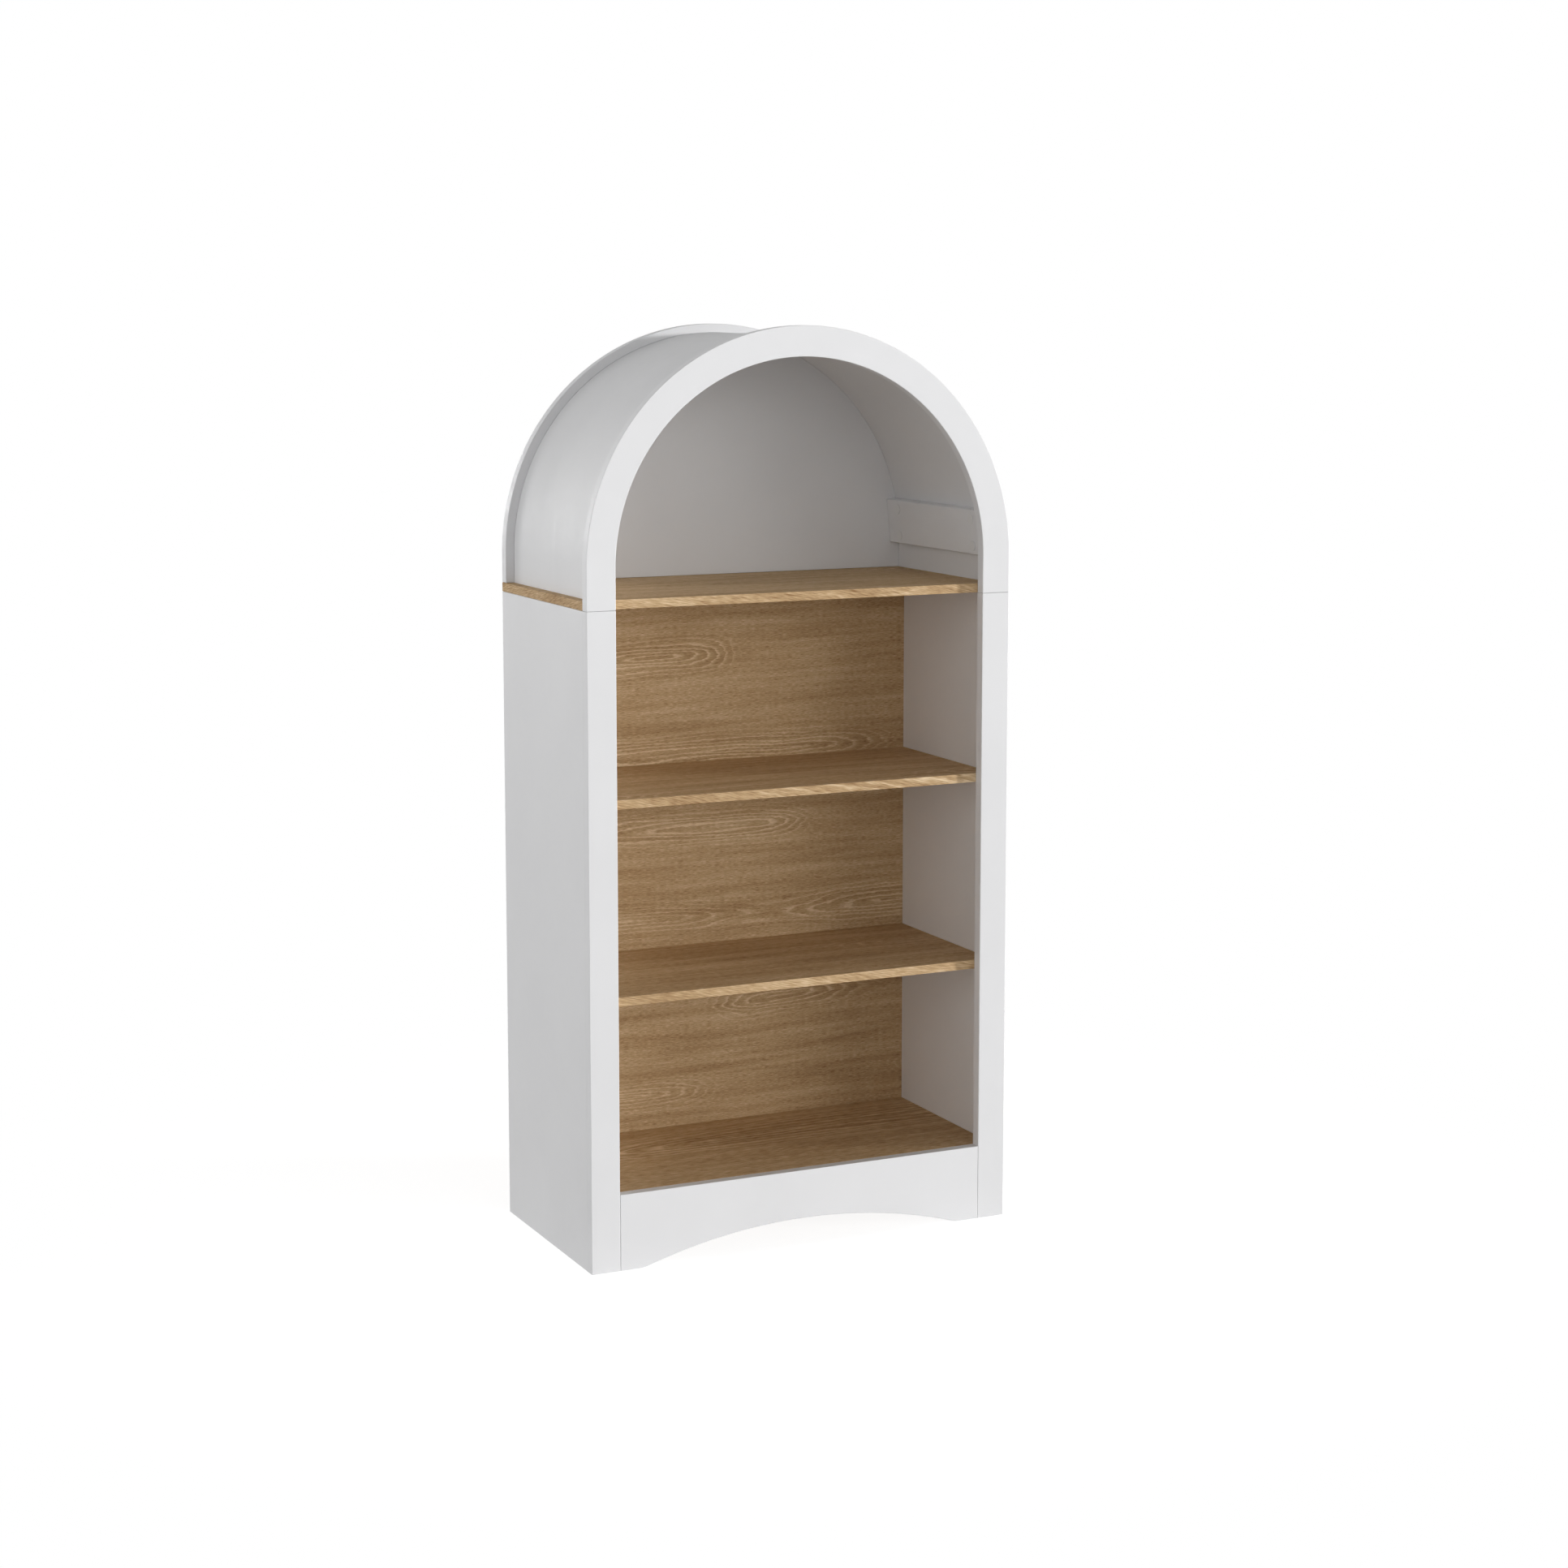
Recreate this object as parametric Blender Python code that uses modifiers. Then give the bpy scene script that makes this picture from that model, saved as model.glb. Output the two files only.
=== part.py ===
"""Arched bookcase: a white case with oak shelves and a round-arched top.

Metres, +Z up. The origin is on the floor under the middle of the case, and the front faces -Y.
"""

import math

import bmesh
import bpy
from mathutils import Matrix, Vector

# Overall sizes. The height follows: apron, shelf pitches, arch leg and half the width.
WIDTH = 0.762
DEPTH = 0.381
APRON_HEIGHT = 0.127
SHELF_PITCH = 0.322
ARCH_LEG = 0.050

# Boards
BOARD = 0.018
SHELF_BOARD = 0.015
FRAME_WIDTH = 0.050
EDGE_ROUND = 0.001
OAK_ROUND = 0.0005

# Thin sheets, and the grooves that hold them
SHEET = 0.003
SHEET_INSET = 0.015
SHEET_GROOVE = 0.006
BACK_PANEL = 0.005
BACK_INSET = 0.038
BACK_GROOVE = 0.006

# Arch cut in the apron's lower edge
APRON_FOOT = 0.035
APRON_RISE = 0.045
APRON_CORNER = 0.050

# Rails inside the arch. The angle is that of a rail's middle above the spring line.
RAIL_HEIGHT = 0.076
RAIL_ANGLE = math.radians(5.5)

# Cam fittings that tie the rails to the ring and the back board
CAM_RADIUS = 0.0075
CAM_FLOOR = 0.0012
CAM_BACKSET = 0.040
CAM_EDGE = 0.015
CAM_CROSS_LENGTH = 0.008
CAM_CROSS_WIDTH = 0.0024
CAM_CROSS_DEPTH = 0.0025
CAP_RADIUS = 0.009
CAP_HEIGHT = 0.001
CAP_PIN_RADIUS = 0.0009
CAP_PIN_LENGTH = 0.002
BOLT_THREAD_RADIUS = 0.0025
BOLT_THREAD_LENGTH = 0.011
BOLT_SHANK_RADIUS = 0.003
BOLT_NECK_RADIUS = 0.002
BOLT_NECK_LENGTH = 0.0035
BOLT_HEAD_RADIUS = 0.0033
BOLT_HEAD_LENGTH = 0.004

# Dowels
DOWEL_RADIUS = 0.004
DOWEL_LENGTH = 0.030
DOWEL_SHALLOW = 0.010
DOWEL_SETBACK = 0.060
DOWEL_CHAMFER = 0.0006
BOARD_DOWEL_SETBACK = 0.170

# Space left between pieces that touch, and how far a cutter passes a face that it opens
GAP = 0.0003
PAST = 0.002

# Facets, and the angles above which an edge is rounded or shaded sharp
ROUND_ABOVE = math.radians(40)
SHARP_ABOVE = math.radians(30)
FLAT_BELOW = math.radians(0.05)
WELD = 0.000001
ARC_SEGMENTS = 48
APRON_SEGMENTS = 24
CORNER_SEGMENTS = 4
ROUND_SIDES = 12

# Planes and levels that several pieces share
OUTER_X = WIDTH / 2
INNER_X = OUTER_X - BOARD
OPENING_X = OUTER_X - FRAME_WIDTH
FRONT_Y = -DEPTH / 2
FRAME_BACK_Y = FRONT_Y + BOARD
REAR_Y = DEPTH / 2
ARCH_BOARD_Y = REAR_Y - BOARD
PANEL_FRONT_Y = REAR_Y - BACK_INSET
SHELF_NAMES = ("bottom_shelf", "lower_shelf", "upper_shelf")
SHELF_TOPS = [APRON_HEIGHT + SHELF_PITCH * level for level in range(len(SHELF_NAMES))]
DECK_TOP = SHELF_TOPS[-1] + SHELF_PITCH
DECK_UNDERSIDE = DECK_TOP - SHELF_BOARD
SPRING_Z = DECK_TOP + ARCH_LEG
SHEET_OUTER_RADIUS = OUTER_X - SHEET_INSET
SHEET_INNER_RADIUS = SHEET_OUTER_RADIUS - SHEET
SIDES = (("left", -1), ("right", 1))
ENDS = (("front", -1), ("rear", 1))


def clear_scene():
    for obj in list(bpy.data.objects):
        bpy.data.objects.remove(obj, do_unlink=True)


def new_collection(name):
    collection = bpy.data.collections.new(name)
    bpy.context.scene.collection.children.link(collection)
    return collection


def new_finish(name, colour, roughness, metallic=0.0):
    finish = bpy.data.materials.new(name)
    finish.use_nodes = True
    shader = finish.node_tree.nodes["Principled BSDF"]
    shader.inputs["Base Color"].default_value = (*colour, 1.0)
    shader.inputs["Roughness"].default_value = roughness
    shader.inputs["Metallic"].default_value = metallic
    finish.diffuse_color = (*colour, 1.0)
    return finish


clear_scene()
PARTS = new_collection("arched_bookcase")
CUTTERS = new_collection("cutters")
WHITE = new_finish("white_lacquer", (0.83, 0.83, 0.82), 0.45)
OAK = new_finish("oak_veneer", (0.48, 0.31, 0.16), 0.55)
BEECH = new_finish("beech", (0.62, 0.44, 0.27), 0.65)
ZINC = new_finish("zinc", (0.55, 0.56, 0.58), 0.40, 1.0)
STEEL = new_finish("plated_steel", (0.62, 0.61, 0.58), 0.30, 1.0)
CAP_WHITE = new_finish("cap_plastic", (0.82, 0.82, 0.81), 0.40)


def add_part(name, mesh, finish, matrix=None, parent=None):
    """One named piece of the bookcase. The matrix is in its parent's frame, if it has one."""
    if finish.name not in mesh.materials:
        mesh.materials.append(finish)
    part = bpy.data.objects.new(name, mesh)
    part.parent = parent
    part.matrix_local = matrix or Matrix.Identity(4)
    PARTS.objects.link(part)
    return part


def add_cutter(name, mesh, matrix=None, parent=None):
    """A shape that is only taken away from the boards."""
    cutter = bpy.data.objects.new(name, mesh)
    cutter.parent = parent
    cutter.matrix_local = matrix or Matrix.Identity(4)
    cutter.hide_render = True
    cutter.display_type = "WIRE"
    CUTTERS.objects.link(cutter)
    return cutter


def cut(cutter, *pieces):
    """Takes the cutter away from each piece. One Boolean holds all that a piece is cut with."""
    for piece in pieces:
        boolean = piece.modifiers.get("cuts")
        if not boolean:
            boolean = piece.modifiers.new("cuts", "BOOLEAN")
            boolean.operation = "DIFFERENCE"
            boolean.operand_type = "COLLECTION"
            boolean.collection = bpy.data.collections.new(f"{piece.name}_cuts")
            CUTTERS.children.link(boolean.collection)
        boolean.collection.objects.link(cutter)


def round_edges(part, radius):
    bevel = part.modifiers.new("edge_round", "BEVEL")
    bevel.width = radius
    bevel.segments = 1
    bevel.limit_method = "ANGLE"
    bevel.angle_limit = ROUND_ABOVE


def evaluated_mesh(obj):
    """The object's mesh with its modifiers or its curve made real, and the object removed."""
    graph = bpy.context.evaluated_depsgraph_get()
    graph.update()
    mesh = bpy.data.meshes.new_from_object(obj.evaluated_get(graph))
    bpy.data.objects.remove(obj, do_unlink=True)
    return mesh


def shade_round(mesh):
    mesh.shade_smooth()
    mesh.set_sharp_from_angle(angle=SHARP_ABOVE)
    return mesh


def box_mesh(name, size):
    shape = bmesh.new()
    bmesh.ops.create_cube(shape, size=1.0, matrix=Matrix.Diagonal((*size, 1.0)))
    mesh = bpy.data.meshes.new(name)
    shape.to_mesh(mesh)
    shape.free()
    return mesh


def box_between(name, low, high):
    """A box mesh about its own middle, and the matrix that puts it between two corners."""
    low, high = Vector(low), Vector(high)
    return box_mesh(name, high - low), Matrix.Translation((low + high) / 2)


def add_board(name, low, high, finish, rounding, parent=None):
    mesh, matrix = box_between(name, low, high)
    board = add_part(name, mesh, finish, matrix, parent)
    round_edges(board, rounding)
    return board


def add_box_cutter(name, low, high):
    return add_cutter(name, *box_between(name, low, high))


def cylinder_mesh(name, radius, length):
    """A cylinder about its own middle, along Z."""
    shape = bmesh.new()
    bmesh.ops.create_cone(
        shape,
        cap_ends=True,
        segments=ROUND_SIDES,
        radius1=radius,
        radius2=radius,
        depth=length,
    )
    mesh = bpy.data.meshes.new(name)
    shape.to_mesh(mesh)
    shape.free()
    return mesh


def turned_mesh(name, profile):
    """A solid of revolution about Z. The profile runs down its outer side, as (radius, height)."""
    line = bpy.data.meshes.new(name)
    points = [(radius, 0.0, height) for radius, height in profile]
    line.from_pydata(points, [(i, i + 1) for i in range(len(points) - 1)], [])
    turned = bpy.data.objects.new(name, line)
    PARTS.objects.link(turned)
    screw = turned.modifiers.new("turn", "SCREW")
    screw.axis = "Z"
    screw.angle = math.tau
    screw.steps = ROUND_SIDES
    screw.render_steps = ROUND_SIDES
    screw.use_merge_vertices = True
    screw.merge_threshold = WELD
    return shade_round(evaluated_mesh(turned))


def plate_mesh(name, outline, thickness):
    """A flat plate standing in the XZ plane, its thickness centred on Y, from an outline in X and Z."""
    curve = bpy.data.curves.new(name, "CURVE")
    curve.dimensions = "2D"
    curve.fill_mode = "BOTH"
    curve.extrude = thickness / 2
    spline = curve.splines.new("POLY")
    spline.points.add(len(outline) - 1)
    for point, (x, z) in zip(spline.points, outline):
        point.co = (x, z, 0.0, 1.0)
    spline.use_cyclic_u = True
    plate = bpy.data.objects.new(name, curve)
    PARTS.objects.link(plate)
    mesh = evaluated_mesh(plate)
    bpy.data.curves.remove(curve)

    shape = bmesh.new()
    shape.from_mesh(mesh)
    bmesh.ops.remove_doubles(shape, verts=shape.verts, dist=WELD)
    bmesh.ops.dissolve_limit(
        shape, angle_limit=FLAT_BELOW, verts=shape.verts, edges=shape.edges
    )
    bmesh.ops.transform(shape, matrix=Matrix.Rotation(math.pi / 2, 4, "X"), verts=shape.verts)
    bmesh.ops.recalc_face_normals(shape, faces=shape.faces)
    shape.to_mesh(mesh)
    shape.free()
    return shade_round(mesh)


def arc(centre, radius, start, end, segments):
    """Points along an arc in X and Z, from one angle to another."""
    angles = [start + (end - start) * i / segments for i in range(segments + 1)]
    return [
        (centre[0] + radius * math.cos(angle), centre[1] + radius * math.sin(angle))
        for angle in angles
    ]


def arch_outline(outer_radius, foot_z, inner_radius=None):
    """A round arch on straight legs: a band if it has an inner radius, otherwise a closed board."""
    spring = (0.0, SPRING_Z)
    outline = [(outer_radius, foot_z)]
    outline += arc(spring, outer_radius, 0.0, math.pi, ARC_SEGMENTS)
    outline += [(-outer_radius, foot_z)]
    if inner_radius:
        outline += [(-inner_radius, foot_z)]
        outline += arc(spring, inner_radius, math.pi, 0.0, ARC_SEGMENTS)
        outline += [(inner_radius, foot_z)]
    return outline


def add_plate(name, outline, front_y, back_y, finish):
    mesh = plate_mesh(name, outline, back_y - front_y)
    return add_part(name, mesh, finish, Matrix.Translation((0, (front_y + back_y) / 2, 0)))


def apron_outline():
    """The apron's front: flat feet that turn through a soft corner into one shallow arc."""
    end_x = OPENING_X - GAP
    foot_x = OPENING_X - APRON_FOOT
    arc_radius = (foot_x**2 / APRON_RISE + APRON_RISE) / 2 - APRON_CORNER
    arc_centre_z = APRON_RISE - arc_radius
    turn = math.atan2(foot_x, APRON_CORNER - arc_centre_z)
    down = -math.pi / 2
    left_corner = arc((-foot_x, APRON_CORNER), APRON_CORNER, down, down + turn, CORNER_SEGMENTS)
    top_of_arc = math.pi / 2
    shallow_arc = arc(
        (0.0, arc_centre_z), arc_radius, top_of_arc + turn, top_of_arc - turn, APRON_SEGMENTS
    )
    right_corner = [(-x, z) for x, z in reversed(left_corner)]
    outline = [(end_x, APRON_HEIGHT), (-end_x, APRON_HEIGHT), (-end_x, 0.0)]
    outline += left_corner + shallow_arc[1:-1] + right_corner
    outline += [(end_x, 0.0)]
    return outline


# Dowels: beech pins with chamfered ends, each in one bore that runs through two boards
DOWEL_MESH = turned_mesh(
    "dowel",
    [
        (0.0, DOWEL_LENGTH / 2),
        (DOWEL_RADIUS - DOWEL_CHAMFER, DOWEL_LENGTH / 2),
        (DOWEL_RADIUS, DOWEL_LENGTH / 2 - DOWEL_CHAMFER),
        (DOWEL_RADIUS, DOWEL_CHAMFER - DOWEL_LENGTH / 2),
        (DOWEL_RADIUS - DOWEL_CHAMFER, -DOWEL_LENGTH / 2),
        (0.0, -DOWEL_LENGTH / 2),
    ],
)
DOWEL_BORE_MESH = cylinder_mesh("dowel_bore", DOWEL_RADIUS + GAP, DOWEL_LENGTH + 2 * GAP)
ALONG_X = Matrix.Rotation(math.pi / 2, 4, "Y")
ALONG_Z = Matrix.Identity(4)
HALF_FACET = Matrix.Rotation(math.pi / ROUND_SIDES, 4, "Z")


def add_dowel(name, centre, direction, *boards):
    matrix = Matrix.Translation(centre) @ direction
    add_part(name, DOWEL_MESH, BEECH, matrix)
    cut(add_cutter(name + "_bore", DOWEL_BORE_MESH, matrix), *boards)


# Lower case: sides, and the stiles that face their front edges
CASE_TOP = DECK_UNDERSIDE - GAP
side_panels = {}
stiles = {}
for side, sign in SIDES:
    outer, inner, opening = sign * OUTER_X, sign * INNER_X, sign * OPENING_X
    side_panels[side] = add_board(
        f"{side}_side_panel",
        (min(outer, inner), FRAME_BACK_Y + GAP, 0.0),
        (max(outer, inner), REAR_Y, CASE_TOP),
        WHITE,
        EDGE_ROUND,
    )
    stiles[side] = add_board(
        f"{side}_front_stile",
        (min(outer, opening), FRONT_Y, 0.0),
        (max(outer, opening), FRAME_BACK_Y, CASE_TOP),
        WHITE,
        EDGE_ROUND,
    )

# Apron between the stiles
apron = add_plate("front_apron", apron_outline(), FRONT_Y, FRAME_BACK_Y, WHITE)
round_edges(apron, EDGE_ROUND)

# Fixed shelves, each on two dowels at either end
SHELF_END_X = INNER_X - GAP
SHELF_FRONT_Y = FRAME_BACK_Y + GAP
SHELF_REAR_Y = PANEL_FRONT_Y - GAP
for shelf_name, top in zip(SHELF_NAMES, SHELF_TOPS):
    shelf = add_board(
        shelf_name,
        (-SHELF_END_X, SHELF_FRONT_Y, top - SHELF_BOARD),
        (SHELF_END_X, SHELF_REAR_Y, top),
        OAK,
        OAK_ROUND,
    )
    dowel_rows = (SHELF_FRONT_Y + DOWEL_SETBACK, SHELF_REAR_Y - DOWEL_SETBACK)
    dowel_x = INNER_X + DOWEL_SHALLOW - DOWEL_LENGTH / 2
    for side, sign in SIDES:
        for (end, _), dowel_y in zip(ENDS, dowel_rows):
            centre = (sign * dowel_x, dowel_y, top - SHELF_BOARD / 2)
            add_dowel(f"{shelf_name}_dowel_{side}_{end}", centre, ALONG_X, shelf, side_panels[side])

# Deck: lies across both sides, its front edge against the ring's legs
DECK_FRONT_Y = FRAME_BACK_Y + GAP
deck = add_board(
    "deck",
    (-OUTER_X, DECK_FRONT_Y, DECK_UNDERSIDE),
    (OUTER_X, REAR_Y, DECK_TOP),
    OAK,
    OAK_ROUND,
)
deck_dowel_z = DECK_UNDERSIDE + DOWEL_SHALLOW - DOWEL_LENGTH / 2
deck_dowel_rows = (DECK_FRONT_Y + DOWEL_SETBACK, REAR_Y - DOWEL_SETBACK)
for side, sign in SIDES:
    for (end, _), dowel_y in zip(ENDS, deck_dowel_rows):
        centre = (sign * (OUTER_X - BOARD / 2), dowel_y, deck_dowel_z)
        add_dowel(f"deck_dowel_{side}_{end}", centre, ALONG_Z, deck, side_panels[side])

# Back panel: slides down grooves in the sides, and the deck closes over its top edge
PANEL_REAR_Y = PANEL_FRONT_Y + BACK_PANEL
PANEL_FOOT_Z = SHELF_TOPS[0] - SHELF_BOARD
PANEL_TOP_Z = DECK_UNDERSIDE + BACK_GROOVE - GAP
PANEL_END_X = INNER_X + BACK_GROOVE - GAP
add_board(
    "back_panel",
    (-PANEL_END_X, PANEL_FRONT_Y, PANEL_FOOT_Z),
    (PANEL_END_X, PANEL_REAR_Y, PANEL_TOP_Z),
    OAK,
    OAK_ROUND,
)
panel_groove = add_box_cutter(
    "back_panel_groove",
    (-PANEL_END_X - GAP, PANEL_FRONT_Y - GAP, PANEL_FOOT_Z - GAP),
    (PANEL_END_X + GAP, PANEL_REAR_Y + GAP, PANEL_TOP_Z + GAP),
)
cut(panel_groove, side_panels["left"], side_panels["right"], deck)

# Arch: a ring on the stiles in front, a closed board on the deck behind, a bent sheet between
ring_outline = arch_outline(OUTER_X, DECK_UNDERSIDE, OPENING_X)
ring = add_plate("front_arch_ring", ring_outline, FRONT_Y, FRAME_BACK_Y, WHITE)
round_edges(ring, EDGE_ROUND)
ARCH_FOOT_Z = DECK_TOP + GAP
board_outline = arch_outline(OUTER_X, ARCH_FOOT_Z)
arch_board = add_plate("arch_back_board", board_outline, ARCH_BOARD_Y, REAR_Y, WHITE)
round_edges(arch_board, EDGE_ROUND)
SHEET_FRONT_Y = FRAME_BACK_Y - SHEET_GROOVE + GAP
SHEET_REAR_Y = ARCH_BOARD_Y + SHEET_GROOVE - GAP
sheet_outline = arch_outline(SHEET_OUTER_RADIUS, ARCH_FOOT_Z, SHEET_INNER_RADIUS)
add_plate("roof_sheet", sheet_outline, SHEET_FRONT_Y, SHEET_REAR_Y, WHITE)
groove_outline = arch_outline(SHEET_OUTER_RADIUS + GAP, DECK_TOP, SHEET_INNER_RADIUS - GAP)
groove_mesh = plate_mesh("roof_sheet_groove", groove_outline, SHEET_REAR_Y - SHEET_FRONT_Y + 2 * GAP)
groove_matrix = Matrix.Translation((0, (SHEET_FRONT_Y + SHEET_REAR_Y) / 2, 0))
cut(add_cutter("roof_sheet_groove", groove_mesh, groove_matrix), ring, arch_board)

# Dowels that stand the ring's legs on the stiles, and the back board on the deck
for side, sign in SIDES:
    leg = (sign * (OUTER_X - FRAME_WIDTH / 2), FRONT_Y + BOARD / 2, DECK_UNDERSIDE)
    add_dowel(f"ring_dowel_{side}", leg, ALONG_Z, ring, stiles[side])
    foot_z = DECK_TOP - DOWEL_SHALLOW + DOWEL_LENGTH / 2
    foot = (sign * (OUTER_X - BOARD_DOWEL_SETBACK), REAR_Y - BOARD / 2, foot_z)
    add_dowel(f"back_board_dowel_{side}", foot, ALONG_Z, arch_board, deck)

# Cam fittings. In a rail's frame X points outwards through the rail and Y along it.
# Each shape is made for the end at +Y, and turned half round about X for the other end.
RAIL_LENGTH = ARCH_BOARD_Y - FRAME_BACK_Y - 2 * GAP
RAIL_OUTER = math.sqrt((SHEET_INNER_RADIUS - GAP) ** 2 - (RAIL_HEIGHT / 2) ** 2)
RAIL_FACE = RAIL_OUTER - BOARD
BOLT_DEPTH = BOARD / 2
SLOT_HALF = BOLT_HEAD_RADIUS + GAP
CAM_END = BOLT_DEPTH + SLOT_HALF + CAM_FLOOR
CAM_MIDDLE = (GAP + CAM_END) / 2
HEAD_END = CAM_BACKSET + BOLT_HEAD_LENGTH / 2
# The pocket is turned by half a facet, so that none of its edges lies on one of the bolt's way
POCKET_MESH = cylinder_mesh("cam_pocket", CAM_RADIUS + GAP, CAM_END + GAP + PAST)
POCKET_MESH.transform(
    Matrix.Translation(((CAM_END + GAP - PAST) / 2, 0, 0)) @ ALONG_X @ HALF_FACET
)


def bolt_mesh():
    """A turned bolt along Y. It starts at the rail's end, with its thread at +Y and its head at -Y."""
    neck_start = -HEAD_END + BOLT_HEAD_LENGTH + BOLT_NECK_LENGTH
    profile = [
        (0.0, BOLT_THREAD_LENGTH),
        (BOLT_THREAD_RADIUS, BOLT_THREAD_LENGTH),
        (BOLT_THREAD_RADIUS, 0.0),
        (BOLT_SHANK_RADIUS, 0.0),
        (BOLT_SHANK_RADIUS, neck_start),
        (BOLT_NECK_RADIUS, neck_start),
        (BOLT_NECK_RADIUS, -HEAD_END + BOLT_HEAD_LENGTH),
        (BOLT_HEAD_RADIUS, -HEAD_END + BOLT_HEAD_LENGTH),
        (BOLT_HEAD_RADIUS, -HEAD_END),
        (0.0, -HEAD_END),
    ]
    mesh = turned_mesh("cam_bolt", profile)
    mesh.transform(Matrix.Rotation(-math.pi / 2, 4, "X"))
    return mesh


def cap_mesh():
    """A low round cap on the rail's face, with a pin that goes into the cam's cross slot."""
    profile = [
        (0.0, CAP_HEIGHT),
        (CAP_RADIUS - CAP_HEIGHT / 2, CAP_HEIGHT),
        (CAP_RADIUS, CAP_HEIGHT / 2),
        (CAP_RADIUS, GAP),
        (CAP_PIN_RADIUS, GAP),
        (CAP_PIN_RADIUS, -CAP_PIN_LENGTH),
        (0.0, -CAP_PIN_LENGTH),
    ]
    mesh = turned_mesh("cam_cap", profile)
    mesh.transform(Matrix.Rotation(-math.pi / 2, 4, "Y"))
    return mesh


def cam_mesh():
    """A drum with a slot in its side for the bolt's head, and a cross slot in its face for a driver."""
    drum_mesh = cylinder_mesh("cam", CAM_RADIUS, CAM_END - GAP)
    drum_mesh.transform(Matrix.Translation((CAM_MIDDLE, 0, 0)) @ ALONG_X)
    drum = add_part("cam_drum", drum_mesh, ZINC)
    past_head = BOLT_HEAD_LENGTH / 2 + GAP
    slot = add_box_cutter(
        "cam_slot",
        (BOLT_DEPTH - SLOT_HALF, -past_head, -SLOT_HALF),
        (BOLT_DEPTH + SLOT_HALF, CAM_RADIUS + PAST, SLOT_HALF),
    )
    long, half = CAM_CROSS_LENGTH / 2, CAM_CROSS_WIDTH / 2
    floor_x = GAP + CAM_CROSS_DEPTH
    upright = add_box_cutter("cross_upright", (-PAST, -half, -long), (floor_x, half, long))
    level = add_box_cutter("cross_level", (-PAST, -long, -half), (floor_x, long, half))
    for cutter in (slot, upright, level):
        cut(cutter, drum)
    drum_cuts = drum.modifiers["cuts"].collection
    mesh = evaluated_mesh(drum)
    for cutter in (slot, upright, level):
        bpy.data.objects.remove(cutter, do_unlink=True)
    bpy.data.collections.remove(drum_cuts)
    return shade_round(mesh)


CAM_MESH = cam_mesh()
BOLT_MESH = bolt_mesh()
CAP_MESH = cap_mesh()
PILOT_MESH = cylinder_mesh("bolt_pilot", BOLT_THREAD_RADIUS + GAP, BOLT_THREAD_LENGTH + GAP + PAST)
PILOT_MESH.transform(
    Matrix.Translation((0, (BOLT_THREAD_LENGTH + GAP - PAST) / 2, 0))
    @ Matrix.Rotation(math.pi / 2, 4, "X")
)
BOLT_WAY_MESH = cylinder_mesh("bolt_way", BOLT_HEAD_RADIUS + GAP, CAM_BACKSET + PAST)
BOLT_WAY_MESH.transform(
    Matrix.Translation((0, (PAST - CAM_BACKSET) / 2, 0)) @ Matrix.Rotation(math.pi / 2, 4, "X")
)

# Rails: upright inside the arch, turned to face its middle, their outer edges against the sheet
for side, sign in SIDES:
    frame = bpy.data.objects.new(f"{side}_rail_frame", None)
    frame.location = (0.0, 0.0, SPRING_Z)
    frame.rotation_euler = (0.0, -RAIL_ANGLE, 0.0 if sign > 0 else math.pi)
    PARTS.objects.link(frame)
    rail = add_board(
        f"{side}_arch_rail",
        (RAIL_FACE, -RAIL_LENGTH / 2, -RAIL_HEIGHT / 2),
        (RAIL_OUTER, RAIL_LENGTH / 2, RAIL_HEIGHT / 2),
        WHITE,
        EDGE_ROUND,
        frame,
    )
    for (end, end_sign), anchor in zip(ENDS, (ring, arch_board)):
        along = end_sign * sign
        turn = Matrix.Identity(4) if along > 0 else Matrix.Rotation(math.pi, 4, "X")
        for level, level_sign in (("lower", -1), ("upper", 1)):
            corner = f"{side}_{end}_{level}"
            height = level_sign * (RAIL_HEIGHT / 2 - CAM_EDGE)
            cam_place = Vector((RAIL_FACE, along * (RAIL_LENGTH / 2 - CAM_BACKSET), height))
            cam_matrix = Matrix.Translation(cam_place) @ turn
            bolt_place = Vector((RAIL_FACE + BOLT_DEPTH, along * RAIL_LENGTH / 2, height))
            bolt_matrix = Matrix.Translation(bolt_place) @ turn
            add_part(f"cam_{corner}", CAM_MESH, ZINC, cam_matrix, frame)
            add_part(f"cam_cap_{corner}", CAP_MESH, CAP_WHITE, cam_matrix, frame)
            add_part(f"cam_bolt_{corner}", BOLT_MESH, STEEL, bolt_matrix, frame)
            cut(add_cutter(f"pocket_{corner}", POCKET_MESH, cam_matrix, frame), rail)
            cut(add_cutter(f"bolt_way_{corner}", BOLT_WAY_MESH, bolt_matrix, frame), rail)
            cut(add_cutter(f"pilot_{corner}", PILOT_MESH, bolt_matrix, frame), anchor)
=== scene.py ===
import math

import bmesh
import bpy
from mathutils import Matrix, Vector


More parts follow.
